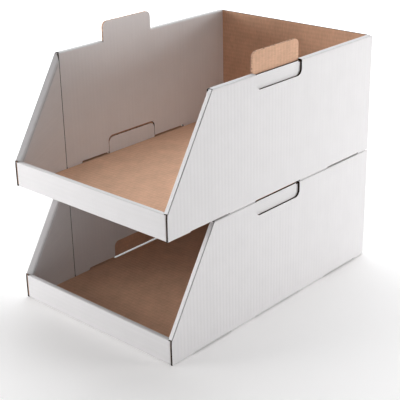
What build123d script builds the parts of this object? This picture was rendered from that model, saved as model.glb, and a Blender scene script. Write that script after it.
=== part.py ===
from build123d import *
from math import atan2, cos, hypot, sin
import os

# Two open-fronted storage boxes, one stacked on the other.
#
# Each box is one sheet of corrugated board, white on one face and brown on the other, cut and
# folded. The side walls are double: the outer wall rolls over at the top into an inner wall, and
# rolls over again along its slanted front edge into a small triangular flap beside that inner wall.
# Both are locked by tongues in slots of the floor. The corner flaps of the rear wall and of the
# front lip lie between the two layers. A tab cut out of each outer wall stands up from the top edge
# and goes through the floor of the box above.
#
# Millimetres. +Z is up, -Y is the open front. The origin is the middle of the underside.

# Board
board = 3.0  # thickness of the corrugated board
layer_gap = 0.3  # air between two layers that lie on each other
fold_outside = 1.6  # radius of a fold on its outer face
fold_inside = 0.35  # radius of a fold on its inner face
fold_room = 4.0  # flat board starts this far from a folded edge

# One box, measured over the outside
box_width = 300.0
box_depth = 442.0
box_height = 178.5

# Front lip
lip_height = 37.0
lip_layer_gap = 0.8  # air between the two layers of the lip
lip_corner_drop = 0.7  # the lip's unrolled ends stay this far below its rolled edge
lip_flap_length = 70.0
lip_flap_taper = 18.0
lip_foot_gap = 0.5  # from the floor to the lip's inner layer

# Slanted front edge of the side walls, from the lip's top up to a clipped corner
slant_run = 80.0
corner_clip_run = 8.0
corner_clip_drop = 10.5
slant_roll_gap = 1.5  # from the lip's top to the lower end of the rolled slant
lip_side_relief = 6.0  # the outer wall's upright front edge stops this far below the lip's top

# Inner wall and triangular flap
inner_wall_start = 86.5
butt_gap = 1.0  # between the triangular flap and the inner wall
floor_slit = 3.0  # from the floor to the inner wall's lower edge between its tongues

# Tongues and their slots in the floor, as distances from the front face
front_slot = (41.0, 117.0)
rear_slot = (337.0, 416.0)
tongue_play = 1.5  # along the slot, at each end of a tongue
slot_play = 0.5  # across the slot, on the inner side
slot_wall_cut = 2.5  # height of the slots' cut in the outer wall
tongue_tip = 0.3  # tongues stop this far above the underside
tongue_taper = 1.0  # at each end of a tongue's tip

# Stacking tab, the notch that it leaves in the outer wall and its socket in the box above
tab_start = 172.0  # from the front face
tab_width = 98.0
tab_rise = 28.5
tab_corner = 9.0
notch_depth = 22.0
socket_play = 1.0  # at each end of the tab
socket_headroom = 2.5  # above the tab's tip

# Rear wall and its corner flaps
rear_flap_front = 152.0  # distance of the flaps' free ends from the front face
rear_flap_top_gap = 4.0
rear_flap_bottom = 7.5
rear_flap_taper = 12.0
rear_wall_drop = 0.5  # the rear wall's raw edge stays this far below the rolled edges

# Places that follow from the sizes
slant_top = box_height - corner_clip_drop
top_edge_start = slant_run + corner_clip_run
front_edge_height = lip_height - lip_side_relief
front_y = -box_depth / 2
rear_y = box_depth / 2
layer_pitch = board + layer_gap
outer_x = box_width / 2
outer_inside_x = outer_x - board
middle_x = outer_x - layer_pitch  # outer face of the corner flaps
inner_x = middle_x - layer_pitch  # brown face of the inner wall
room_x = inner_x - board  # white face of the inner wall, which is seen inside the box
inner_wall_x = (room_x + inner_x) / 2
inner_wall_end = box_depth - layer_pitch
slit_top = board + floor_slit
flap_front = board + lip_layer_gap
flap_rear = inner_wall_start - butt_gap
tab_end = tab_start + tab_width
stack_slot = (tab_start - socket_play, tab_end + socket_play)
slot_width = outer_x - room_x + slot_play
floor_slot_width = slot_width - board
floor_slot_x = outer_inside_x - floor_slot_width / 2
tongues = (
    (front_slot[0] + tongue_play, flap_rear),
    (inner_wall_start, front_slot[1] - tongue_play),
    (rear_slot[0] + tongue_play, rear_slot[1] - tongue_play),
)
lip_depth = 2 * board + lip_layer_gap
roll_start = lip_height + slant_roll_gap
slant_length = hypot(slant_run, slant_top - lip_height)
slant_angle = atan2(slant_top - lip_height, slant_run)
sides = (-1, 1)

# In side view a point is its distance behind the front face and its height over the underside
side_view = Plane(origin=(0, front_y, 0), x_dir=(0, 1, 0), z_dir=(1, 0, 0))
slant_end_view = Plane(
    origin=(0, front_y + slant_run, slant_top),
    x_dir=(1, 0, 0),
    z_dir=(0, -cos(slant_angle), -sin(slant_angle)),
)


def folded_section(plane, outer_face, inner_face):
    """A run of board seen on edge, with its folds rounded."""
    with BuildSketch(plane) as section:
        with BuildLine():
            outer_line = FilletPolyline(*outer_face, radius=fold_outside)
            inner_line = FilletPolyline(*inner_face, radius=fold_inside)
            Line(outer_line @ 0, inner_line @ 0)
            Line(outer_line @ 1, inner_line @ 1)
        make_face()
    return section.sketch


def outline(plane, points, radii=0):
    """A closed outline, with its corners rounded by the radii in the order of the points."""
    with BuildSketch(plane) as shape:
        with BuildLine():
            FilletPolyline(*points, radius=radii, close=True)
        make_face()
    return shape.sketch


def slant_point(along, into):
    """A point in side view, so far along the slant from its foot and into the wall."""
    distance = along * cos(slant_angle) + into * sin(slant_angle)
    height = lip_height + along * sin(slant_angle) - into * cos(slant_angle)
    return distance, height


def slant_at_roll_start(into):
    """The place on the slant, so far into the wall, that is level with the roll's lower end."""
    along = (roll_start - lip_height + into * cos(slant_angle)) / sin(slant_angle)
    return slant_point(along, into)


def clipped_corner_height(distance):
    """Height of the clipped corner between the slant and the top edge."""
    share = (distance - slant_run) / (top_edge_start - slant_run)
    return slant_top + share * (box_height - slant_top)


with BuildPart() as rolled_slants:
    # The side walls' slanted edges, where the board turns in and down again
    for side in sides:
        slant_section = folded_section(
            slant_end_view,
            [
                (side * room_x, -fold_room),
                (side * room_x, 0),
                (side * outer_x, 0),
                (side * outer_x, -fold_room),
            ],
            [
                (side * inner_x, -fold_room),
                (side * inner_x, -board),
                (side * outer_inside_x, -board),
                (side * outer_inside_x, -fold_room),
            ],
        )
        extrude(slant_section, amount=slant_length, dir=slant_end_view.z_dir)

    # Their lower ends are cut level
    with Locations((0, front_y, 0)):
        Box(2 * box_width, box_depth, 2 * roll_start, mode=Mode.SUBTRACT)

with BuildPart() as rear_wall:
    # Wall and corner flaps, folded at the upright corners
    rear_section = folded_section(
        Plane.XY,
        [
            (-middle_x, front_y + rear_flap_front),
            (-middle_x, rear_y),
            (middle_x, rear_y),
            (middle_x, front_y + rear_flap_front),
        ],
        [
            (board - middle_x, front_y + rear_flap_front),
            (board - middle_x, rear_y - board),
            (middle_x - board, rear_y - board),
            (middle_x - board, front_y + rear_flap_front),
        ],
    )
    extrude(rear_section, amount=box_height)
    flap_top = box_height - rear_flap_top_gap
    wall_top = box_height - rear_wall_drop
    rear_outline = outline(
        side_view,
        [
            (box_depth, rear_flap_bottom),
            (rear_flap_front + rear_flap_taper, rear_flap_bottom),
            (rear_flap_front, rear_flap_bottom + rear_flap_taper),
            (rear_flap_front, flap_top - rear_flap_taper),
            (rear_flap_front + rear_flap_taper, flap_top),
            (box_depth - fold_room - rear_flap_top_gap, flap_top),
            (box_depth - fold_room, wall_top),
            (box_depth, wall_top),
        ],
    )
    extrude(rear_outline, amount=box_width, both=True, mode=Mode.INTERSECT)

    # Fold at the floor
    rear_fold = folded_section(
        side_view,
        [
            (box_depth - 2 * fold_room, 0),
            (box_depth, 0),
            (box_depth, rear_flap_bottom),
        ],
        [
            (box_depth - 2 * fold_room, board),
            (box_depth - board, board),
            (box_depth - board, rear_flap_bottom),
        ],
    )
    extrude(rear_fold, amount=middle_x - fold_room, both=True)

with BuildPart() as front_lip:
    # Outer layer and corner flaps, folded at the upright corners
    lip_section = folded_section(
        Plane.XY,
        [
            (-middle_x, front_y + lip_flap_length),
            (-middle_x, front_y),
            (middle_x, front_y),
            (middle_x, front_y + lip_flap_length),
        ],
        [
            (board - middle_x, front_y + lip_flap_length),
            (board - middle_x, front_y + board),
            (middle_x - board, front_y + board),
            (middle_x - board, front_y + lip_flap_length),
        ],
    )
    extrude(lip_section, amount=lip_height)
    lip_corner_top = lip_height - lip_corner_drop
    lip_outline = outline(
        side_view,
        [
            (0, layer_pitch),
            (lip_flap_length, layer_pitch),
            (lip_flap_length, lip_corner_top - lip_flap_taper),
            (lip_flap_length - lip_flap_taper, lip_corner_top),
            (0, lip_corner_top),
        ],
    )
    extrude(lip_outline, amount=box_width, both=True, mode=Mode.INTERSECT)

    # Fold at the floor
    lip_fold = folded_section(
        side_view,
        [(2 * fold_room, 0), (0, 0), (0, fold_room)],
        [(2 * fold_room, board), (board, board), (board, fold_room)],
    )
    extrude(lip_fold, amount=middle_x - fold_room, both=True)

    # Rolled edge and inner layer
    lip_roll = folded_section(
        side_view,
        [(0, fold_room), (0, lip_height), (lip_depth, lip_height), (lip_depth, board + lip_foot_gap)],
        [
            (board, fold_room),
            (board, lip_height - board),
            (lip_depth - board, lip_height - board),
            (lip_depth - board, board + lip_foot_gap),
        ],
    )
    extrude(lip_roll, amount=room_x - slot_play, both=True)

with BuildPart() as folded_box:
    # Floor, outer walls, rolled top edges and inner walls
    side_section = folded_section(
        Plane.XZ.offset(-rear_y),
        [
            (-room_x, slit_top),
            (-room_x, box_height),
            (-outer_x, box_height),
            (-outer_x, 0),
            (outer_x, 0),
            (outer_x, box_height),
            (room_x, box_height),
            (room_x, slit_top),
        ],
        [
            (-inner_x, slit_top),
            (-inner_x, box_height - board),
            (-outer_inside_x, box_height - board),
            (-outer_inside_x, board),
            (outer_inside_x, board),
            (outer_inside_x, box_height - board),
            (inner_x, box_height - board),
            (inner_x, slit_top),
        ],
    )
    extrude(side_section, amount=box_depth, dir=(0, -1, 0))

    # The walls' front: upright beside the lip, then slanted, with a clipped top corner
    open_front = outline(
        side_view,
        [
            (-board, front_edge_height),
            (0, front_edge_height),
            slant_at_roll_start(0),
            slant_at_roll_start(fold_room),
            slant_point(slant_length, fold_room),
            slant_point(slant_length, 0),
            (top_edge_start, box_height),
            (top_edge_start, box_height + board),
            (-board, box_height + board),
        ],
    )
    extrude(open_front, amount=box_width, both=True, mode=Mode.SUBTRACT)

    # The inner walls and rolled top edges stop short of the triangular flaps and the rear wall
    with Locations((0, front_y, board)):
        Box(
            2 * inner_x + layer_gap,
            inner_wall_start,
            box_height,
            align=(Align.CENTER, Align.MIN, Align.MIN),
            mode=Mode.SUBTRACT,
        )
    with Locations((0, front_y + inner_wall_end, board)):
        Box(
            2 * outer_inside_x,
            layer_pitch,
            box_height,
            align=(Align.CENTER, Align.MIN, Align.MIN),
            mode=Mode.SUBTRACT,
        )

    # Room in the floor for the folds of the lip and the rear wall
    with Locations((0, front_y, 0), (0, rear_y, 0)):
        Box(2 * outer_inside_x, 2 * fold_room, 2 * board, mode=Mode.SUBTRACT)

    # Slots along the floor's side folds, through the floor and the foot of the outer walls
    for slot_start, slot_end in (front_slot, stack_slot, rear_slot):
        slot_length = slot_end - slot_start
        slot_y = front_y + (slot_start + slot_end) / 2
        with Locations((-outer_x, slot_y, 0), (outer_x, slot_y, 0)):
            Box(2 * slot_width, slot_length, 2 * slot_wall_cut, mode=Mode.SUBTRACT)
        with Locations((-floor_slot_x, slot_y, 0), (floor_slot_x, slot_y, 0)):
            Box(floor_slot_width, slot_length, 2 * slit_top, mode=Mode.SUBTRACT)

    # Triangular flaps and rolled slants
    for side in sides:
        flap_outline = outline(
            side_view.offset(side * inner_wall_x),
            [
                (flap_front, slit_top),
                (flap_rear, slit_top),
                (flap_rear, clipped_corner_height(flap_rear)),
                slant_point(slant_length, 0),
                slant_point(slant_length, fold_room),
                slant_at_roll_start(fold_room),
                (flap_front, front_edge_height),
            ],
        )
        extrude(flap_outline, amount=board / 2, both=True)
    add(rolled_slants.part)

    # Tongues that lock the flaps and the inner walls in the slots
    for side in sides:
        for tongue_start, tongue_end in tongues:
            tongue_outline = outline(
                side_view.offset(side * inner_wall_x),
                [
                    (tongue_start, slit_top),
                    (tongue_start + tongue_taper, tongue_tip),
                    (tongue_end - tongue_taper, tongue_tip),
                    (tongue_end, slit_top),
                ],
            )
            extrude(tongue_outline, amount=board / 2, both=True)

    # Sockets in the inner walls, over the middle slots
    for side in sides:
        socket_outline = outline(
            side_view.offset(side * inner_wall_x),
            [
                (stack_slot[0], board),
                (stack_slot[1], board),
                (stack_slot[1], tab_rise + socket_headroom),
                (stack_slot[0], tab_rise + socket_headroom),
            ],
            [0, 0, tab_corner, tab_corner],
        )
        extrude(socket_outline, amount=layer_pitch / 2, both=True, mode=Mode.SUBTRACT)

    # Notches in the outer walls and the rolled top edges, left by the tabs
    for side in sides:
        notch_outline = outline(
            side_view.offset(side * inner_x),
            [
                (tab_start, box_height + board),
                (tab_start, box_height - notch_depth),
                (tab_end, box_height - notch_depth),
                (tab_end, box_height + board),
            ],
            [0, tab_corner, tab_corner, 0],
        )
        extrude(notch_outline, amount=board * 3, dir=(side, 0, 0), mode=Mode.SUBTRACT)
    with Locations((0, front_y + tab_start, box_height - fold_room)):
        Box(
            box_width,
            tab_width,
            2 * fold_room,
            align=(Align.CENTER, Align.MIN, Align.MIN),
            mode=Mode.SUBTRACT,
        )

    # Stacking tabs, standing up from the inner walls
    for side in sides:
        tab_outline = outline(
            side_view.offset(side * inner_wall_x),
            [
                (tab_start, box_height - fold_room),
                (tab_end, box_height - fold_room),
                (tab_end, box_height + tab_rise),
                (tab_start, box_height + tab_rise),
            ],
            [0, 0, tab_corner, tab_corner],
        )
        extrude(tab_outline, amount=board / 2, both=True)

    # End walls
    add(rear_wall.part)
    add(front_lip.part)

with BuildPart() as lower_box:
    add(folded_box.part)

with BuildPart() as upper_box:
    with Locations((0, 0, box_height)):
        add(folded_box.part)

lower_box.part.label = "lower_box"
upper_box.part.label = "upper_box"

os.makedirs("parts", exist_ok=True)
export_step(lower_box.part, "parts/lower_box.step")
export_step(upper_box.part, "parts/upper_box.step")
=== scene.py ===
from math import cos, hypot, pi, radians, sin

import bmesh
import bpy
from mathutils import Matrix, Vector, noise


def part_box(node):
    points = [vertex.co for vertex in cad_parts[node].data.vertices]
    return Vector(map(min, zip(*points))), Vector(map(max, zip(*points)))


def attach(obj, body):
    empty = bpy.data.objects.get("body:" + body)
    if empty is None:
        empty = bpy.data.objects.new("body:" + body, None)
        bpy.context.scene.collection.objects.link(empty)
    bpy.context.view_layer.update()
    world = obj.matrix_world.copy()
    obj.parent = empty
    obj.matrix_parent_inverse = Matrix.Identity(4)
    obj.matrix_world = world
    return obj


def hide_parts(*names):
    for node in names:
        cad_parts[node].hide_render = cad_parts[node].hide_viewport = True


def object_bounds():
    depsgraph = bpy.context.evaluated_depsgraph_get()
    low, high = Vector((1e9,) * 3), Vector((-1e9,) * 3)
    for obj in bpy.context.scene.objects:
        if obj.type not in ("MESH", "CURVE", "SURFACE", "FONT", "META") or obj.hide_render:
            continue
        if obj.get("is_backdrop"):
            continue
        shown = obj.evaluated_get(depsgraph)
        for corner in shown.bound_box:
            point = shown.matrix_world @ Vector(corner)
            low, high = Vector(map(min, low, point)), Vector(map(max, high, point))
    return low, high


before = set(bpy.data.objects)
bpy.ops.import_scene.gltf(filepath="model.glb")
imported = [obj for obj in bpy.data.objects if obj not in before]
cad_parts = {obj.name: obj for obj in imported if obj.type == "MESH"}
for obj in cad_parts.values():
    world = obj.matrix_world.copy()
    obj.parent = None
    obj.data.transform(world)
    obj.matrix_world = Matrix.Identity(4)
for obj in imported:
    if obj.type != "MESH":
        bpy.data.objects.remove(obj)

bl_info = {
    "name": "Stacked storage boxes",
    "version": (1, 0, 0),
    "blender": (4, 5, 0),
    "location": "View3D > Sidebar > Boxes",
    "description": "Cuts, creases and folds the two blanks of a stack of storage boxes",
    "category": "Object",
}

CAD_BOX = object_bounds()
MM = 0.001
LOWER_LOW, LOWER_HIGH = (Vector(corner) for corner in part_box("lower_box"))
UPPER_LOW, UPPER_HIGH = (Vector(corner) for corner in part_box("upper_box"))
BOX_HEIGHT = UPPER_LOW.z - LOWER_LOW.z

# Material slots of a folded sheet
WHITE_FACE, BROWN_FACE, CUT_FACE = 0, 1, 2

# Meshing of the blank
CORNER_SEGMENTS = 8
CUT_TOLERANCE = 0.001 * MM
JOIN_DISTANCE = 0.02 * MM
SHARP_ANGLE = radians(40)

# Waves of the uneven walls
WAVES_PER_METRE = 5.0
WAVE_START = Vector((7.0, 3.0, 1.0))

# Colour sockets of a mix node, which has other sockets with the same names
MIX_FIRST, MIX_SECOND, MIX_RESULT = 6, 7, 2

# Floor of the studio, in metres, and the ring over which it brightens to white
FLOOR_HALF = 12.0
FLOOR_DROP = 0.2 * MM
GLOW_START, GLOW_END = 0.35, 1.2

# Width of the camera's sensor, in millimetres
SENSOR_WIDTH = 36.0


def length(name, description, default):
    """A size that a user can change, in metres."""
    return bpy.props.FloatProperty(
        name=name, description=description, default=default, unit="LENGTH", precision=5
    )


def colour(name, description, default):
    """A colour that a user can change."""
    return bpy.props.FloatVectorProperty(
        name=name, description=description, default=default, subtype="COLOR", size=3, min=0, max=1
    )


def power(name, description, default):
    """A lamp's power that a user can change, in watts."""
    return bpy.props.FloatProperty(name=name, description=description, default=default, unit="POWER")


class BoardSettings(bpy.types.PropertyGroup):
    """The corrugated board."""

    thickness: length("Board", "Thickness of the board", 3.0 * MM)
    layer_gap: length("Layer gap", "Air between two layers that lie on each other", 0.3 * MM)
    fold_outside: length("Outer fold", "Size of a fold on the white face", 1.6 * MM)
    roll_outside: length("Rolled edge", "Size of a rolled edge's folds on the white face", 3.0 * MM)
    fold_inside: length("Inner fold", "Size of a fold on the brown face", 0.35 * MM)
    slant_fold: length("Slant fold", "Size of the slanted edge's fold on the white face", 0.9 * MM)
    fold_room: length("Fold room", "Flat board starts this far from a folded edge", 4.0 * MM)
    # The press also deepens the painted shade along that crease, through the crease layer.
    slant_press: bpy.props.FloatProperty(
        name="Slant crease", description="How deep the slanted crease is pressed", default=0.55,
        subtype="FACTOR", min=0, max=0.6,
    )
    flute_pitch: length("Flute pitch", "Distance from one flute to the next", 6.5 * MM)
    mesh_step: length("Mesh step", "Largest face of the mesh", 12.0 * MM)
    unevenness: length("Unevenness", "How far a wall strays from its plane", 0.7 * MM)
    pattern: bpy.props.IntProperty(
        name="Pattern", description="Picks how the walls stray, the same way each run", default=1, min=1
    )
    white: colour("White liner", "Paper of the outer face", (0.80, 0.785, 0.79))
    brown: colour("Brown liner", "Paper of the inner face", (0.71, 0.432, 0.290))
    # The fluting's paper, darkened with painted shade.
    core: colour("Fluting", "Paper of the middle layer, seen on the cut edges", (0.15, 0.09, 0.055))
    # Painted shade in the hollows between the flutes.
    hollow: colour("Flute hollow", "Shade between the flutes", (0.010, 0.007, 0.006))


class BoxSettings(bpy.types.PropertyGroup):
    """One folded box. Distances along the walls are measured from the front face."""

    lip_height: length("Lip height", "Height of the front lip", 37.0 * MM)
    lip_layer_gap: length("Lip gap", "Air between the two layers of the lip", 0.8 * MM)
    lip_corner_drop: length("Lip corners", "Drop from the lip's rolled edge to its ends", 0.3 * MM)
    lip_flap_length: length("Lip flaps", "Length of the lip's corner flaps", 70.0 * MM)
    lip_flap_taper: length("Lip flap taper", "Clipped corner of the lip's flaps", 18.0 * MM)
    lip_foot_gap: length("Lip foot", "From the floor to the lip's inner layer", 0.5 * MM)
    lip_side_relief: length("Lip relief", "Drop from the lip to the wall's upright edge", 6.0 * MM)
    slant_run: length("Slant run", "How far back the slanted edge goes", 86.2 * MM)
    clip_run: length("Clip run", "Length of the clipped corner", 1.8 * MM)
    clip_drop: length("Clip drop", "Height of the clipped corner", 0.33 * MM)
    slant_tilt: bpy.props.FloatVectorProperty(
        name="Slant tilt", description="How much further back the slant's inner fold lies, left and right",
        size=2, unit="LENGTH", default=(6.0 * MM, 2.2 * MM),
    )
    slant_roll_gap: length("Roll gap", "From the lip's top to the rolled slant", 1.0 * MM)
    inner_wall_start: length("Inner wall start", "Where the inner wall starts", 86.5 * MM)
    butt_gap: length("Butt gap", "From the triangular flap to the inner wall", 1.0 * MM)
    floor_slit: length("Floor slit", "From the floor to the inner wall", 3.0 * MM)
    front_slot: bpy.props.FloatVectorProperty(
        name="Front slot", description="Ends of the front slot", size=2, unit="LENGTH",
        default=(41.0 * MM, 117.0 * MM),
    )
    rear_slot: bpy.props.FloatVectorProperty(
        name="Rear slot", description="Ends of the rear slot", size=2, unit="LENGTH",
        default=(337.0 * MM, 416.0 * MM),
    )
    tongue_play: length("Tongue play", "Along the slot, at each end of a tongue", 0.3 * MM)
    tongue_tip: length("Tongue tip", "From the underside to a tongue's tip", 1.2 * MM)
    tongue_taper: length("Tongue taper", "At each end of a tongue's tip", 1.0 * MM)
    slot_play: length("Slot play", "Across a slot, on the inner side", 0.5 * MM)
    slot_wall_cut: length("Slot height", "Height of a slot in the outer wall", 1.8 * MM)
    tab_start: length("Tab start", "Where the stacking tab starts", 172.0 * MM)
    tab_width: length("Tab width", "Width of the stacking tab", 98.0 * MM)
    tab_corner: length("Tab corner", "Radius of the tab's and its notch's corners", 9.0 * MM)
    notch_depth: length("Notch depth", "Depth of the notch beside the tab", 22.0 * MM)
    socket_play: length("Socket play", "At each end of a tab in its socket", 0.8 * MM)
    socket_headroom: length("Socket headroom", "Over a tab in its socket", 2.5 * MM)
    rear_flap_front: length("Rear flaps", "Where the rear wall's flaps end", 152.0 * MM)
    rear_flap_top_gap: length("Rear flap top", "Drop from the top edge to the flaps", 4.0 * MM)
    rear_flap_rise: length("Rear flap rise", "How far the flaps rise behind the notch", 1.9 * MM)
    rear_flap_bottom: length("Rear flap foot", "From the underside to the flaps", 3.6 * MM)
    rear_flap_taper: length("Rear flap taper", "Clipped corners of the flaps", 12.0 * MM)
    rear_wall_drop: length("Rear wall drop", "Drop from the top edge to the rear wall", 0.5 * MM)


class StageSettings(bpy.types.PropertyGroup):
    """Floor, lights and camera."""

    floor_colour: colour("Floor", "Colour of the floor", (0.87, 0.855, 0.85))
    floor_glow: bpy.props.FloatProperty(
        name="Floor glow", description="Lifts the floor to white in the picture", default=0.22
    )
    sky: bpy.props.FloatProperty(name="Sky", description="Light from all round", default=0.17)
    overhead_light: power("Overhead light", "Power of the light above and behind", 30.0)
    overhead_colour: colour("Overhead colour", "Colour of the light above and behind", (0.95, 0.98, 1.0))
    left_light: power("Left light", "Power of the light on the left", 7.0)
    front_light: power("Front light", "Power of the light in front on the left", 15.0)
    right_light: power("Right light", "Power of the light behind on the right", 22.5)
    camera_place: bpy.props.FloatVectorProperty(
        name="Camera", description="Place of the camera", size=3, unit="LENGTH",
        default=(0.9506, -1.0287, 0.7140),
    )
    camera_azimuth: bpy.props.FloatProperty(
        name="Azimuth", description="Turn of the camera round the boxes", subtype="ANGLE",
        default=radians(42.71),
    )
    camera_elevation: bpy.props.FloatProperty(
        name="Elevation", description="How far the camera looks down", subtype="ANGLE",
        default=radians(22.80),
    )
    camera_roll: bpy.props.FloatProperty(
        name="Roll", description="Turn of the camera about its line of sight", subtype="ANGLE",
        default=radians(-1.206),
    )
    camera_lens: bpy.props.FloatProperty(
        name="Lens", description="Focal length in millimetres", default=91.0
    )


class FoldPath:
    """A run of board over parallel folds, seen on edge. Its white face follows the corners.

    bends are the sizes of the folds on the white face."""

    def __init__(self, board, corners, bends):
        self.board = board
        self.corners = [Vector(corner) for corner in corners]
        self.bends = (0, *bends, 0)

    def bend(self, corner, inner):
        return self.board.thickness + self.board.fold_inside if inner else self.bends[corner]

    def place(self, distance, inner):
        """The place so far along the white face, on that face or on the brown one."""
        depth = self.board.thickness if inner else 0.0
        last = len(self.corners) - 2
        for index in range(last + 1):
            start, end = self.corners[index], self.corners[index + 1]
            span = (end - start).length
            if distance <= span or index == last:
                break
            distance -= span
        along = (end - start).normalized()
        bend = self.bend(index + 1, inner)
        if index < last and span - distance < bend:
            onward = (self.corners[index + 2] - end).normalized()
            return self.round(end, along, onward, depth, bend, distance - span)
        bend = self.bend(index, inner)
        if index > 0 and distance < bend:
            before = (start - self.corners[index - 1]).normalized()
            return self.round(start, before, along, depth, bend, distance)
        return start + along * distance + depth * self.inward(along)

    @staticmethod
    def inward(along):
        """Every run turns left at its folds, so the brown face is on the left."""
        return Vector((-along.y, along.x))

    def round(self, corner, before, after, depth, bend, distance):
        """The place on a rounded fold, so far after its corner."""
        share = (distance + bend) / (2 * bend)
        first = corner + depth * self.inward(before) - bend * before
        last = corner + depth * self.inward(after) + bend * after
        middle = corner + depth * (self.inward(before) + self.inward(after))
        return (1 - share) ** 2 * first + 2 * share * (1 - share) * middle + share**2 * last


class Blank:
    """One die-cut blank. Its panels are drawn flat, and each is folded into place as it is cut.

    Blank coordinates run across the box and along it, from the middle of the floor."""

    def __init__(self, board):
        self.board = board
        self.mesh = bmesh.new()
        self.flat = self.mesh.verts.layers.float_vector.new("blank")
        # The crease layer grows towards each fold, more on pressed folds, and sets the painted shade along
        # the creases.
        self.crease = self.mesh.verts.layers.float.new("crease")
        self.depth = self.mesh.verts.layers.float.new("depth")
        self.crushed = self.mesh.verts.layers.float.new("crushed")
        self.inner_side = self.mesh.verts.layers.float_vector.new("inner_side")

    def panel(self, outline, place, folds=(), rounded=(), crushed=0.0):
        """Cuts a panel and folds it.

        rounded gives a radius for some of the outline's points. place gives the folded place of a
        flat point on either face. A fold is a point, a direction across it, its size on the white
        face and how deep the rule has pressed it, as a share of the board. crushed says how far
        the die has closed the flutes at the panel's edges."""
        kept = set(self.mesh.faces)
        corners = [self.mesh.verts.new((across, along, 0)) for across, along in outline]
        self.mesh.faces.new(corners)
        for index, radius in rounded:
            bmesh.ops.bevel(
                self.mesh, geom=[corners[index]], offset=radius, offset_type="OFFSET",
                affect="VERTICES", segments=CORNER_SEGMENTS, profile=0.5, material=-1,
            )

        step = self.board.mesh_step
        for axis in (0, 1):
            low = min(point[axis] for point in outline)
            high = max(point[axis] for point in outline)
            normal = Vector((1 - axis, axis, 0))
            for line in range(int(low // step) + 1, int(high // step) + 1):
                self.cut(kept, line * step * normal, normal)
        inner = self.board.thickness + self.board.fold_inside
        for point, across, bend, pressed in folds:
            offsets = [inner, *(bend * share for share in (0.2, 0.4, 0.7, 1.0)), 0]
            for offset in sorted({*offsets, *(-offset for offset in offsets)}):
                self.cut(kept, Vector(point) + offset * Vector(across), Vector(across))

        points = {vert for face in self.mesh.faces if face not in kept for vert in face.verts}
        for vert in points:
            spot = vert.co.copy()
            vert[self.flat] = spot
            vert[self.crushed] = crushed
            vert[self.inner_side] = place(spot.x, spot.y, True)
            vert.co = place(spot.x, spot.y, False)
            for point, across, bend, pressed in folds:
                near = 1 - abs((spot - Vector(point)).dot(Vector(across))) / bend
                if near > 0:
                    # A pressed fold gets a stronger crease value, for darker painted shade.
                    vert[self.crease] = max(vert[self.crease], near * (1 + 2 * pressed))
                    vert.co = vert.co.lerp(vert[self.inner_side], pressed * near)

    def cut(self, kept, point, normal):
        """Cuts the newest panel's faces along a line."""
        faces = [face for face in self.mesh.faces if face not in kept]
        edges = dict.fromkeys(edge for face in faces for edge in face.edges)
        verts = dict.fromkeys(vert for face in faces for vert in face.verts)
        bmesh.ops.bisect_plane(
            self.mesh, geom=[*verts, *edges, *faces], dist=CUT_TOLERANCE,
            plane_co=point, plane_no=normal,
        )

    def thicken(self):
        """Joins the panels along their folds and gives the sheet its brown face and cut edges."""
        bmesh.ops.remove_doubles(self.mesh, verts=self.mesh.verts, dist=JOIN_DISTANCE)
        white = self.mesh.faces[:]
        grown = bmesh.ops.extrude_face_region(self.mesh, geom=white, use_keep_orig=True)["geom"]
        brown = {face for face in grown if isinstance(face, bmesh.types.BMFace)}
        for vert in (vert for vert in grown if isinstance(vert, bmesh.types.BMVert)):
            vert.co = vert[self.inner_side]
            vert[self.depth] = 1.0
        for face in self.mesh.faces:
            face.material_index = CUT_FACE
        for face in white:
            face.material_index = WHITE_FACE
        for face in brown:
            face.material_index = BROWN_FACE
        bmesh.ops.recalc_face_normals(self.mesh, faces=self.mesh.faces)

    def finish(self, name, materials):
        """Hands the sheet over as an object."""
        self.mesh.verts.layers.float_vector.remove(self.inner_side)
        mesh = bpy.data.meshes.new(name)
        for face in self.mesh.faces:
            face.smooth = True
        for edge in self.mesh.edges:
            papers = {face.material_index for face in edge.link_faces}
            edge.smooth = len(papers) == 1 and edge.calc_face_angle(0) < SHARP_ANGLE
        self.mesh.to_mesh(mesh)
        self.mesh.free()
        for material in materials:
            mesh.materials.append(material)
        piece = bpy.data.objects.new(name, mesh)
        bpy.context.scene.collection.objects.link(piece)
        return piece


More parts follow.
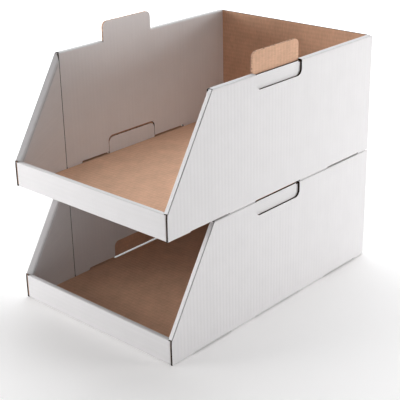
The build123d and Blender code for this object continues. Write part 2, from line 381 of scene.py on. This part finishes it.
def fold_box(board, box, low, high, height):
    """Cuts and folds one blank between the CAD box's corners, without its offset up the stack."""
    outer_x, rear_y = high.x, high.y
    front_y, depth = low.y, high.y - low.y
    top_rise = high.z - low.z - height
    outer_inside_x = outer_x - board.thickness
    pitch = board.thickness + board.layer_gap
    middle_x = outer_x - pitch
    room_x = middle_x - pitch - board.thickness
    wall_depth = outer_x - room_x
    room = board.fold_room
    foot_half = middle_x - room
    slot_width = wall_depth + box.slot_play
    slit_top = board.thickness + box.floor_slit
    top_fold = outer_x + height
    inner_fold = top_fold + wall_depth
    inner_end = depth - pitch
    tab_start, tab_end = box.tab_start, box.tab_start + box.tab_width
    socket = (tab_start - box.socket_play, tab_end + box.socket_play)
    socket_top = top_rise + box.socket_headroom
    slant_top = height - box.clip_drop
    top_start = box.slant_run + box.clip_run
    slant_length = hypot(box.slant_run, slant_top - box.lip_height)
    rise, run = (slant_top - box.lip_height) / slant_length, box.slant_run / slant_length
    flap_rear = box.inner_wall_start - box.butt_gap
    flap_front = board.thickness + box.lip_layer_gap
    front_edge = box.lip_height - box.lip_side_relief

    def clip_height(distance):
        """Height of the wall's edge, on the clipped corner or else on the slant."""
        if distance < box.slant_run:
            return box.lip_height + distance * rise / run
        return slant_top + (distance - box.slant_run) / box.clip_run * box.clip_drop

    def mirrored(right):
        """An outline's right half, joined to its mirror image."""
        return right + [(-across, along) for across, along in reversed(right)]

    def turned(side, points):
        """Points of the right wall, or their mirror images on the left."""
        return [(side * across, along) for across, along in points]

    def lengthwise_fold(across, bend):
        """A fold that runs from front to rear."""
        return (across, 0, 0), (1, 0, 0), bend, 0

    def crosswise_fold(along):
        """A fold that runs from side to side."""
        return (0, along, 0), (0, 1, 0), board.fold_outside, 0

    def tilt_on(across):
        """How much further back the slant's inner fold lies, on that side of the box."""
        left, right = box.slant_tilt
        return right if across > 0 else left

    def on_outer_wall(distance, z):
        """Blank coordinates of a place on the outer wall."""
        return outer_x + z, front_y + distance

    def on_inner_wall(distance, z):
        """Blank coordinates of a place on the inner wall, given where it lies when folded."""
        return inner_fold + height - z, front_y + distance

    slant_foot = Vector((outer_x + box.lip_height, front_y))
    slant_along, slant_out = Vector((rise, run)), Vector((run, -rise))

    def on_slant(along, out):
        """Blank coordinates of a place along the slanted fold and out past it."""
        return tuple(slant_foot + along * slant_along + out * slant_out)

    def on_flap(distance, z, tilt):
        """Blank coordinates of a place on the triangular flap, given where it lies when folded."""
        along = distance * run + (z - box.lip_height) * rise
        into = distance * rise - (z - box.lip_height) * run
        return on_slant(along, wall_depth + into - tilt)

    def slant_start(into):
        """How far along the slant its rolled edge begins, so far into the wall."""
        return (box.slant_roll_gap + into * run) / rise

    plain, rolled = board.fold_outside, board.roll_outside
    wall_run = FoldPath(
        board, [(0, 0), (outer_x, 0), (outer_x, height), (room_x, height), (room_x, 0)],
        (plain, rolled, rolled),
    )
    lip_back = -front_y - 2 * board.thickness - box.lip_layer_gap
    lip_run = FoldPath(
        board,
        [
            (0, 0), (-front_y, 0), (-front_y, box.lip_height),
            (lip_back, box.lip_height), (lip_back, 0),
        ],
        (plain, plain, plain),
    )
    rear_run = FoldPath(board, [(0, 0), (rear_y, 0), (rear_y, height)], (plain,))
    lip_plan = FoldPath(board, [(0, front_y), (middle_x, front_y), (middle_x, rear_y)], (plain,))
    rear_plan = FoldPath(board, [(0, -rear_y), (middle_x, -rear_y), (middle_x, -front_y)], (plain,))
    slant_lead = 2 * room
    slant_run = FoldPath(
        board, [(outer_x, -slant_lead), (outer_x, 0), (room_x, 0), (room_x, -height)],
        (board.slant_fold, rolled),
    )

    def place_side(across, along, inner):
        """Floor and side walls."""
        spot = wall_run.place(abs(across), inner)
        return Vector((spot.x if across > 0 else -spot.x, along, spot.y))

    def place_tab(across, along, inner):
        """Stacking tab, which stays flat."""
        side = 1 if across > 0 else -1
        x = room_x + (board.thickness if inner else 0)
        return Vector((side * x, along, height + inner_fold - abs(across)))

    def place_lip_fold(across, along, inner):
        """Fold at the lip's foot, and its rolled edge."""
        spot = lip_run.place(-along, inner)
        return Vector((across, -spot.x, spot.y))

    def place_lip_wall(across, along, inner):
        """Outer layer of the lip, round its corners."""
        spot = lip_plan.place(abs(across), inner)
        return Vector((spot.x if across > 0 else -spot.x, spot.y, front_y - along))

    def place_rear_fold(across, along, inner):
        """Fold at the rear wall's foot."""
        spot = rear_run.place(along, inner)
        return Vector((across, spot.x, spot.y))

    def place_rear_wall(across, along, inner):
        """Rear wall, round its corners."""
        spot = rear_plan.place(abs(across), inner)
        return Vector((spot.x if across > 0 else -spot.x, -spot.y, along - rear_y))

    def place_slant(across, along, inner):
        """Rolled slant and triangular flap."""
        side = 1 if across > 0 else -1
        flat = Vector((abs(across), along)) - slant_foot
        out = flat.dot(slant_out)
        spot = slant_run.place(slant_lead + out, inner)
        tilt = min(max(out / wall_depth, 0), 1) * tilt_on(across)
        up, into = flat.dot(slant_along), tilt - spot.y
        distance, z = up * run + into * rise, box.lip_height + up * rise - into * run
        return Vector((side * spot.x, front_y + distance, z))

    blank = Blank(board)

    # Floor, with its slots and the room for the folds at its front and rear
    slots = (box.front_slot, socket, box.rear_slot)
    edge = [(foot_half, front_y + room), (outer_inside_x, front_y + room)]
    edge += [(outer_inside_x, front_y), (outer_x, front_y)]
    for start, end in slots:
        edge += [(outer_x, front_y + start), (outer_x - slot_width, front_y + start)]
        edge += [(outer_x - slot_width, front_y + end), (outer_x, front_y + end)]
    edge += [(outer_x, rear_y), (outer_inside_x, rear_y), (outer_inside_x, rear_y - room)]
    edge.append((foot_half, rear_y - room))
    side_folds = [lengthwise_fold(side * outer_x, plain) for side in (-1, 1)]
    blank.panel(mirrored(edge), place_side, side_folds)

    for side in (-1, 1):
        floor_fold = lengthwise_fold(side * outer_x, plain)
        upper_fold = lengthwise_fold(side * top_fold, rolled)
        lower_fold = lengthwise_fold(side * inner_fold, rolled)

        # Outer wall, with the notch that its tab leaves
        wall = [on_outer_wall(0, 0)]
        for start, end in slots:
            wall += [on_outer_wall(start, 0), on_outer_wall(start, box.slot_wall_cut)]
            wall += [on_outer_wall(end, box.slot_wall_cut), on_outer_wall(end, 0)]
        wall += [on_outer_wall(depth, 0), on_outer_wall(depth, height)]
        wall.append(on_outer_wall(inner_end, height))
        notch = len(wall) + 1
        wall += [
            on_outer_wall(tab_end, height),
            on_outer_wall(tab_end, height - box.notch_depth),
            on_outer_wall(tab_start, height - box.notch_depth),
            on_outer_wall(tab_start, height),
            on_outer_wall(top_start, height),
            on_slant(slant_length, 0),
            on_slant(slant_length, -room),
            on_slant(slant_start(room), -room),
            on_slant(slant_start(0), 0),
            on_outer_wall(0, front_edge),
        ]
        corners = [(notch, box.tab_corner), (notch + 1, box.tab_corner)]
        blank.panel(turned(side, wall), place_side, [floor_fold, upper_fold], corners)

        # Rolled top edge, on both sides of the tab
        for start, end in ((top_start, tab_start), (tab_end, inner_end)):
            roll = [(top_fold, front_y + start), (top_fold, front_y + end)]
            roll += [(inner_fold, front_y + end), (inner_fold, front_y + start)]
            blank.panel(turned(side, roll), place_side, [upper_fold, lower_fold])

        # Inner wall, with its tongues and the socket for the tab of the box below
        inner = [
            on_inner_wall(top_start, height),
            on_inner_wall(tab_start, height),
            on_inner_wall(tab_start, height - room),
            on_inner_wall(tab_end, height - room),
            on_inner_wall(tab_end, height),
            on_inner_wall(inner_end, height),
            on_inner_wall(inner_end, slit_top),
            on_inner_wall(box.rear_slot[1] - box.tongue_play, slit_top),
            on_inner_wall(box.rear_slot[1] - box.tongue_play - box.tongue_taper, box.tongue_tip),
            on_inner_wall(box.rear_slot[0] + box.tongue_play + box.tongue_taper, box.tongue_tip),
            on_inner_wall(box.rear_slot[0] + box.tongue_play, slit_top),
            on_inner_wall(socket[1], slit_top),
            on_inner_wall(socket[1], socket_top),
            on_inner_wall(socket[0], socket_top),
            on_inner_wall(socket[0], slit_top),
            on_inner_wall(box.front_slot[1] - box.tongue_play, slit_top),
            on_inner_wall(box.front_slot[1] - box.tongue_play - box.tongue_taper, box.tongue_tip),
            on_inner_wall(box.inner_wall_start + box.tongue_taper, box.tongue_tip),
            on_inner_wall(box.inner_wall_start, slit_top),
            on_inner_wall(box.inner_wall_start, clip_height(box.inner_wall_start)),
        ]
        corner = inner.index(on_inner_wall(socket[1], socket_top))
        corners = [(corner, box.tab_corner), (corner + 1, box.tab_corner)]
        blank.panel(turned(side, inner), place_side, [lower_fold], corners)

        # Stacking tab
        tab = [(inner_fold + room, front_y + tab_start), (inner_fold + room, front_y + tab_end)]
        tab_tip = inner_fold - top_rise
        tab += [(tab_tip, front_y + tab_end), (tab_tip, front_y + tab_start)]
        corners = [(2, box.tab_corner), (3, box.tab_corner)]
        blank.panel(turned(side, tab), place_tab, rounded=corners, crushed=1.0)

        # Rolled slant and triangular flap
        tilt = tilt_on(side)
        tongue_start = box.front_slot[0] + box.tongue_play
        slant = [
            on_slant(slant_start(room), -room),
            on_slant(slant_length, -room),
            on_slant(slant_length, wall_depth),
            on_flap(flap_rear, clip_height(flap_rear), tilt),
            on_flap(flap_rear, slit_top, tilt),
            on_flap(flap_rear - box.tongue_taper, box.tongue_tip, tilt),
            on_flap(tongue_start + box.tongue_taper, box.tongue_tip, tilt),
            on_flap(tongue_start, slit_top, tilt),
            on_flap(flap_front, slit_top, tilt),
            on_flap(flap_front, front_edge, tilt),
        ]
        if tilt < room:
            slant.append(on_slant(slant_start(room), wall_depth + room - tilt))
        slant.append(on_slant(slant_start(0), wall_depth - max(tilt - room, 0)))
        slant.append(on_slant(slant_start(0), 0))
        across = (side * slant_out.x, slant_out.y, 0)
        folds = []
        for out, bend, pressed in (
            (0, board.slant_fold, board.slant_press), (wall_depth, rolled, 0)
        ):
            point = on_slant(0, out)
            folds.append(((side * point[0], point[1], 0), across, bend, pressed))
        blank.panel(turned(side, slant), place_slant, folds)

    # Front lip: fold at the floor, outer layer with its corner flaps, and rolled edge
    lip_half = room_x - box.slot_play
    edge_half = middle_x - board.thickness - 1.5 * board.fold_inside
    corner_top = box.lip_height - box.lip_corner_drop
    foot = [(foot_half, front_y + room), (foot_half, front_y - pitch)]
    blank.panel(mirrored(foot), place_lip_fold, [crosswise_fold(front_y)])
    flap_end = middle_x + box.lip_flap_length
    corner_end = middle_x + board.thickness + board.fold_inside
    corner_foot = front_y - box.lip_foot_gap
    lip = [
        (foot_half, front_y - pitch),
        (foot_half + board.fold_inside, front_y - pitch),
        (foot_half + board.fold_inside, corner_foot),
        (corner_end, corner_foot),
        (corner_end, front_y - pitch),
        (flap_end, front_y - pitch),
        (flap_end, front_y - corner_top + box.lip_flap_taper),
        (flap_end - box.lip_flap_taper, front_y - corner_top),
        (edge_half, front_y - corner_top),
        (edge_half, front_y - box.lip_height + room),
    ]
    corner_folds = [lengthwise_fold(side * middle_x, plain) for side in (-1, 1)]
    blank.panel(mirrored(lip), place_lip_wall, corner_folds)
    outer_edge = front_y - box.lip_height
    inner_edge = outer_edge - (-front_y - lip_back)
    roll = [
        (edge_half, outer_edge + room),
        (edge_half, outer_edge - board.thickness),
        (lip_half, outer_edge - board.thickness),
        (lip_half, inner_edge - box.lip_height + board.thickness + box.lip_foot_gap),
    ]
    edge_folds = [crosswise_fold(outer_edge), crosswise_fold(inner_edge)]
    blank.panel(mirrored(roll), place_lip_fold, edge_folds)

    # Rear wall: fold at the floor, and wall with its corner flaps
    foot = [(foot_half, rear_y - room), (foot_half, rear_y + box.rear_flap_bottom)]
    blank.panel(mirrored(foot), place_rear_fold, [crosswise_fold(rear_y)])
    flap_top = height - box.rear_flap_top_gap

    def on_rear_flap(distance, z):
        """Blank coordinates of a place on the rear wall's corner flap."""
        return middle_x + depth - distance, rear_y + z

    taper = box.rear_flap_taper
    rear = [
        (foot_half, rear_y + box.rear_flap_bottom),
        on_rear_flap(box.rear_flap_front + taper, box.rear_flap_bottom),
        on_rear_flap(box.rear_flap_front, box.rear_flap_bottom + taper),
        on_rear_flap(box.rear_flap_front, flap_top - taper),
        on_rear_flap(box.rear_flap_front + taper, flap_top),
        on_rear_flap(tab_start + room, flap_top),
        on_rear_flap(tab_start + room, flap_top + box.rear_flap_rise),
        on_rear_flap(tab_end - room, flap_top + box.rear_flap_rise),
        on_rear_flap(tab_end - room, flap_top),
        on_rear_flap(depth - room - box.rear_flap_top_gap, flap_top),
        on_rear_flap(depth - room, height - box.rear_wall_drop),
    ]
    blank.panel(mirrored(rear), place_rear_wall, corner_folds)
    blank.thicken()
    return blank


def settle(mesh, low, high, unevenness, pattern):
    """Lets the walls stray a little inwards from their planes, as folded board does."""
    noise.seed_set(pattern)
    middle = (low + high) / 2
    half = (high - low) / 2
    for vert in mesh.verts:
        share = Vector([(vert.co[axis] - middle[axis]) / half[axis] for axis in range(3)])
        waves = noise.noise_vector(WAVES_PER_METRE * vert.co + WAVE_START)
        for axis in range(3):
            vert.co[axis] -= share[axis] * unevenness * (0.5 + 0.5 * waves[axis])


class Paper:
    """A material that is built up node by node, on the blank's own coordinates."""

    def __init__(self, name, roughness):
        self.material = bpy.data.materials.new(name)
        self.material.use_nodes = True
        self.tree = self.material.node_tree
        self.shader = self.tree.nodes["Principled BSDF"]
        self.shader.inputs["Roughness"].default_value = roughness
        self.shader.inputs["Specular IOR Level"].default_value = 0.25
        self.blank = self.attribute("blank").outputs["Vector"]

    def node(self, kind, **settings):
        """Adds a node and sets its properties."""
        made = self.tree.nodes.new(kind)
        for name, value in settings.items():
            setattr(made, name, value)
        return made

    def link(self, value, socket):
        """Sets a socket to a value or to another node's output."""
        if isinstance(value, bpy.types.NodeSocket):
            self.tree.links.new(value, socket)
        else:
            socket.default_value = value

    def attribute(self, name):
        """Reads one of the sheet's own attributes."""
        return self.node("ShaderNodeAttribute", attribute_name=name)

    def math(self, operation, first, second=0.0, third=0.0):
        """Adds a calculation with up to three numbers."""
        made = self.node("ShaderNodeMath", operation=operation)
        for value, socket in zip((first, second, third), made.inputs):
            self.link(value, socket)
        return made.outputs["Value"]

    def noise(self, scale, detail=3.0, stretch=(1, 1, 1)):
        """Noise on the flat blank, with so many grains to the metre."""
        mapping = self.node("ShaderNodeMapping")
        self.link(self.blank, mapping.inputs["Vector"])
        mapping.inputs["Scale"].default_value = stretch
        made = self.node("ShaderNodeTexNoise")
        self.link(mapping.outputs["Vector"], made.inputs["Vector"])
        self.link(scale, made.inputs["Scale"])
        self.link(detail, made.inputs["Detail"])
        return made.outputs["Fac"]

    def spread(self, value, from_low, from_high, low, high):
        """Maps a range of values to another one, and holds it there."""
        made = self.node("ShaderNodeMapRange", clamp=True)
        names = ("Value", "From Min", "From Max", "To Min", "To Max")
        for number, name in zip((value, from_low, from_high, low, high), names):
            self.link(number, made.inputs[name])
        return made.outputs["Result"]

    def flutes(self, pitch):
        """A wave with the flutes' pitch, from -1 to 1."""
        parts = self.node("ShaderNodeSeparateXYZ")
        self.link(self.blank, parts.inputs["Vector"])
        return self.math("COSINE", self.math("MULTIPLY", parts.outputs["Y"], 2 * pi / pitch))

    def mix(self, share, first, second, blend="MIX"):
        """Blends two colours."""
        made = self.node("ShaderNodeMix", data_type="RGBA", blend_type=blend)
        self.link(share, made.inputs["Factor"])
        for value, socket in ((first, MIX_FIRST), (second, MIX_SECOND)):
            if not isinstance(value, bpy.types.NodeSocket):
                value = (*value, 1.0)
            self.link(value, made.inputs[socket])
        return made.outputs[MIX_RESULT]

    def shade(self, colour, amount):
        """Darkens or lightens a colour by a number around 1."""
        grey = self.node("ShaderNodeCombineColor")
        for name in ("Red", "Green", "Blue"):
            self.link(amount, grey.inputs[name])
        return self.mix(1.0, colour, grey.outputs["Color"], "MULTIPLY")

    def finish(self, colour, height, depth):
        """Hands the material over, with a bump of so many metres."""
        self.link(colour, self.shader.inputs["Base Color"])
        bump = self.node("ShaderNodeBump")
        self.link(height, bump.inputs["Height"])
        self.link(1.0, bump.inputs["Strength"])
        self.link(depth, bump.inputs["Distance"])
        self.link(bump.outputs["Normal"], self.shader.inputs["Normal"])
        return self.material


def white_liner(board):
    """Bleached paper, a little mottled, with faint painted shade of the washboard over the flutes and
    painted shade along the creases.
    """
    paper = Paper("white_liner", 0.62)
    mottle = paper.spread(paper.noise(38.0, 4.0), 0.3, 0.7, 0.985, 1.008)
    grain = paper.spread(paper.noise(900.0, 2.0), 0.25, 0.75, 0.985, 1.01)
    # Painted shade of the washboard ripples over the flutes.
    flute_shade = paper.spread(paper.flutes(board.flute_pitch), -1.0, 1.0, 0.996, 1.003)
    streak = paper.spread(paper.noise(260.0, 3.0, (0.02, 1.0, 1.0)), 0.3, 0.7, 0.984, 1.008)
    amount = paper.math("MULTIPLY", paper.math("MULTIPLY", mottle, grain), flute_shade)
    amount = paper.math("MULTIPLY", amount, streak)
    # Painted shade in patches along every crease, towards a grey brown.
    crease_shade_patches = paper.spread(paper.noise(160.0, 3.0), 0.35, 0.75, 0.0, 0.22)
    crease = paper.math("MULTIPLY", paper.attribute("crease").outputs["Fac"], crease_shade_patches)
    colour = paper.shade(tuple(board.white), amount)
    colour = paper.mix(crease, colour, (0.52, 0.47, 0.42))
    # Painted shade, darkest along the pressed slanted crease.
    pressed = paper.spread(paper.attribute("crease").outputs["Fac"], 0.8, 1.5, 1.0, 0.10)
    colour = paper.shade(colour, pressed)
    height = paper.math("MULTIPLY", paper.noise(60.0, 3.0), 0.5)
    height = paper.math("ADD", height, paper.math("MULTIPLY", paper.noise(700.0, 2.0), 0.12))
    height = paper.math("ADD", height, paper.math("MULTIPLY", paper.flutes(board.flute_pitch), 0.10))
    return paper.finish(colour, height, 0.35 * MM)


def brown_liner(board):
    """Unbleached paper, fibrous, with the flutes pressed into it, and faint painted shade of their
    washboard.
    """
    paper = Paper("brown_liner", 0.75)
    mottle = paper.spread(paper.noise(30.0, 4.0), 0.3, 0.7, 0.90, 1.06)
    fibre = paper.spread(paper.noise(420.0, 3.0, (1.0, 0.22, 1.0)), 0.25, 0.75, 0.90, 1.08)
    fleck = paper.spread(paper.noise(1300.0, 1.0), 0.62, 0.78, 1.0, 0.84)
    # Painted shade of the washboard ripples over the flutes.
    flute_shade = paper.spread(paper.flutes(board.flute_pitch), -1.0, 1.0, 0.96, 1.02)
    flecks_and_flute_shade = paper.math("MULTIPLY", fleck, flute_shade)
    amount = paper.math("MULTIPLY", paper.math("MULTIPLY", mottle, fibre), flecks_and_flute_shade)
    colour = paper.shade(tuple(board.brown), amount)
    height = paper.math("ADD", paper.noise(60.0, 3.0), paper.math("MULTIPLY", paper.noise(600.0, 2.0), 0.2))
    height = paper.math("ADD", height, paper.math("MULTIPLY", paper.flutes(board.flute_pitch), 0.13))
    return paper.finish(colour, height, 0.4 * MM)


def cut_edge(board):
    """The raw edge: two liners, with the fluting and its hollows between them. Painted shade darkens it
    all: the hollows are near black, the uncrushed fluting is darker than its paper, and the liners' edges
    are darker copies of their faces.
    """
    paper = Paper("cut_edge", 0.85)
    depth = paper.attribute("depth").outputs["Fac"]
    wave = paper.math("MULTIPLY_ADD", paper.flutes(board.flute_pitch), -0.38, 0.5)
    off = paper.math("ABSOLUTE", paper.math("SUBTRACT", depth, wave))
    crushed = paper.attribute("crushed").outputs["Fac"]
    patches = paper.spread(paper.noise(220.0, 2.0), 0.28, 0.5, 0.0, 1.0)
    fluting = paper.spread(off, 0.05, 0.09, 1.0, 0.0)
    fluting = paper.math("MAXIMUM", fluting, paper.math("MULTIPLY", crushed, patches))
    outer = paper.spread(depth, 0.06, 0.09, 1.0, 0.0)
    inner = paper.spread(depth, 0.91, 0.94, 0.0, 1.0)
    fuzz = paper.spread(paper.noise(1500.0, 2.0), 0.3, 0.7, 0.75, 1.2)
    # Fluting darkened with painted shade where the die left it open, and its plain paper where crushed;
    # near-black painted shade in the hollows.
    pulp = paper.mix(crushed, tuple(board.core), tuple(board.brown))
    colour = paper.mix(fluting, tuple(board.hollow), pulp)
    # The liners' edges are darker copies of their papers: painted shade.
    colour = paper.mix(outer, colour, tuple(0.6 * part for part in board.white))
    colour = paper.mix(inner, colour, tuple(0.45 * part for part in board.brown))
    solid = paper.math("MAXIMUM", fluting, paper.math("MAXIMUM", outer, inner))
    return paper.finish(paper.shade(colour, fuzz), solid, 0.8 * MM)


class BOXES_OT_fold(bpy.types.Operator):
    """Cuts, creases and folds the blanks of both boxes and stacks them"""

    bl_idname = "boxes.fold"
    bl_label = "Fold both boxes"

    def execute(self, context):
        board, box = context.scene.board, context.scene.box
        materials = (white_liner(board), brown_liner(board), cut_edge(board))
        for node, low, high in (
            ("lower_box", LOWER_LOW, LOWER_HIGH), ("upper_box", UPPER_LOW, UPPER_HIGH)
        ):
            blank = fold_box(board, box, low, high, BOX_HEIGHT)
            if any(not edge.is_manifold for edge in blank.mesh.edges):
                raise RuntimeError("The blank has an open edge: " + node)
            bmesh.ops.translate(blank.mesh, verts=blank.mesh.verts, vec=(0, 0, low.z))
            settle(blank.mesh, low, high, board.unevenness, board.pattern)
            piece = blank.finish("folded_" + node, materials)
            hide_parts(node)
            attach(piece, "root")
        return {"FINISHED"}


class BOXES_OT_stage(bpy.types.Operator):
    """Lays the floor, hangs the lights and places the camera"""

    bl_idname = "boxes.stage"
    bl_label = "Set the stage"

    def execute(self, context):
        stage = context.scene.stage
        lay_floor(stage)
        light_sky(context.scene, stage)
        hang_light(
            "overhead", place=(-0.5, 0.9, 1.8), size=1.6,
            power=stage.overhead_light, colour=stage.overhead_colour,
        )
        hang_light("left", place=(-1.4, -0.85, 0.42), size=0.7, power=stage.left_light)
        hang_light("front", place=(-1.0, -1.45, 0.4), size=0.7, power=stage.front_light)
        hang_light("right", place=(1.55, 0.95, 0.27), size=0.8, power=stage.right_light)
        place_camera(context.scene, stage)
        context.scene.view_settings.view_transform = "Standard"
        return {"FINISHED"}


def seen_share(tree):
    """1 for what the camera, a gloss or a glass sees, and 0 for what lights the boxes."""
    path = tree.nodes.new("ShaderNodeLightPath")
    share = path.outputs["Is Camera Ray"]
    for name in ("Is Glossy Ray", "Is Transmission Ray"):
        most = tree.nodes.new("ShaderNodeMath")
        most.operation = "MAXIMUM"
        tree.links.new(share, most.inputs[0])
        tree.links.new(path.outputs[name], most.inputs[1])
        share = most.outputs["Value"]
    return share


def lay_floor(stage):
    """A wide pale floor that keeps the boxes' shadow."""
    mesh = bmesh.new()
    bmesh.ops.create_grid(mesh, x_segments=1, y_segments=1, size=FLOOR_HALF)
    bmesh.ops.translate(mesh, verts=mesh.verts, vec=(0, 0, LOWER_LOW.z - FLOOR_DROP))
    data = bpy.data.meshes.new("floor")
    mesh.to_mesh(data)
    mesh.free()
    floor = bpy.data.objects.new("floor", data)
    bpy.context.scene.collection.objects.link(floor)
    floor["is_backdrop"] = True
    material = bpy.data.materials.new("studio_floor")
    material.use_nodes = True
    tree = material.node_tree
    shader = tree.nodes["Principled BSDF"]
    shader.inputs["Base Color"].default_value = (*stage.floor_colour, 1)
    shader.inputs["Roughness"].default_value = 1.0
    shader.inputs["Specular IOR Level"].default_value = 0.0
    shader.inputs["Emission Color"].default_value = (1, 1, 1, 1)
    place = tree.nodes.new("ShaderNodeTexCoord")
    far = tree.nodes.new("ShaderNodeVectorMath")
    far.operation = "LENGTH"
    tree.links.new(place.outputs["Object"], far.inputs[0])
    lift = tree.nodes.new("ShaderNodeMapRange")
    lift.interpolation_type = "SMOOTHSTEP"
    tree.links.new(far.outputs["Value"], lift.inputs["Value"])
    for name, number in (
        ("From Min", GLOW_START), ("From Max", GLOW_END), ("To Min", stage.floor_glow), ("To Max", 1.0)
    ):
        lift.inputs[name].default_value = number
    glow = tree.nodes.new("ShaderNodeMath")
    glow.operation = "MULTIPLY"
    tree.links.new(seen_share(tree), glow.inputs[0])
    tree.links.new(lift.outputs["Result"], glow.inputs[1])
    tree.links.new(glow.outputs["Value"], shader.inputs["Emission Strength"])
    data.materials.append(material)


def light_sky(scene, stage):
    """Even light from all round, and a white background."""
    world = bpy.data.worlds.new("studio")
    world.use_nodes = True
    scene.world = world
    tree = world.node_tree
    background = tree.nodes["Background"]
    background.inputs["Color"].default_value = (1, 1, 1, 1)
    strength = tree.nodes.new("ShaderNodeMapRange")
    tree.links.new(seen_share(tree), strength.inputs["Value"])
    strength.inputs["To Min"].default_value = stage.sky
    strength.inputs["To Max"].default_value = 1.0
    tree.links.new(strength.outputs["Result"], background.inputs["Strength"])


def hang_light(name, place, size, power, colour=(1.0, 1.0, 1.0)):
    """A soft square light that faces the boxes."""
    light = bpy.data.lights.new(name, "AREA")
    light.shape = "SQUARE"
    light.size = size
    light.energy = power
    light.color = colour
    lamp = bpy.data.objects.new(name, light)
    lamp.location = place
    aim = Vector((0, 0, BOX_HEIGHT)) - Vector(place)
    lamp.rotation_euler = aim.to_track_quat("-Z", "Y").to_euler()
    bpy.context.scene.collection.objects.link(lamp)


def place_camera(scene, stage):
    """The camera that took the photograph."""
    lens = bpy.data.cameras.new("camera")
    lens.lens = stage.camera_lens
    lens.sensor_width = SENSOR_WIDTH
    camera = bpy.data.objects.new("camera", lens)
    scene.collection.objects.link(camera)
    turn, rise = stage.camera_azimuth, stage.camera_elevation
    back = Vector((sin(turn) * cos(rise), -cos(turn) * cos(rise), sin(rise)))
    right = Vector((cos(turn), sin(turn), 0))
    up = back.cross(right)
    roll = Matrix.Rotation(stage.camera_roll, 4, "Z")
    facing = Matrix((right, up, back)).transposed().to_4x4()
    camera.matrix_world = Matrix.Translation(Vector(stage.camera_place)) @ facing @ roll
    scene.camera = camera


class BOXES_PT_sidebar(bpy.types.Panel):
    """Sizes, colours and the buttons that build the boxes"""

    bl_idname = "BOXES_PT_sidebar"
    bl_label = "Stacked storage boxes"
    bl_space_type = "VIEW_3D"
    bl_region_type = "UI"
    bl_category = "Boxes"

    def draw(self, context):
        for title, group, operator in (
            ("Board", context.scene.board, None),
            ("Box", context.scene.box, BOXES_OT_fold),
            ("Stage", context.scene.stage, BOXES_OT_stage),
        ):
            part = self.layout.box()
            part.label(text=title)
            for name in group.__annotations__:
                part.prop(group, name)
            if operator:
                part.operator(operator.bl_idname)


CLASSES = (
    BoardSettings, BoxSettings, StageSettings, BOXES_OT_fold, BOXES_OT_stage, BOXES_PT_sidebar
)


def register():
    for item in CLASSES:
        bpy.utils.register_class(item)
    bpy.types.Scene.board = bpy.props.PointerProperty(type=BoardSettings)
    bpy.types.Scene.box = bpy.props.PointerProperty(type=BoxSettings)
    bpy.types.Scene.stage = bpy.props.PointerProperty(type=StageSettings)


def unregister():
    del bpy.types.Scene.stage
    del bpy.types.Scene.box
    del bpy.types.Scene.board
    for item in reversed(CLASSES):
        bpy.utils.unregister_class(item)


def main():
    register()
    bpy.ops.boxes.fold()
    bpy.ops.boxes.stage()
    sizes = {"cad": CAD_BOX, "visual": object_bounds()}
    {name: [list(corner) for corner in box] for name, box in sizes.items()}


if __name__ == "__main__":
    main()
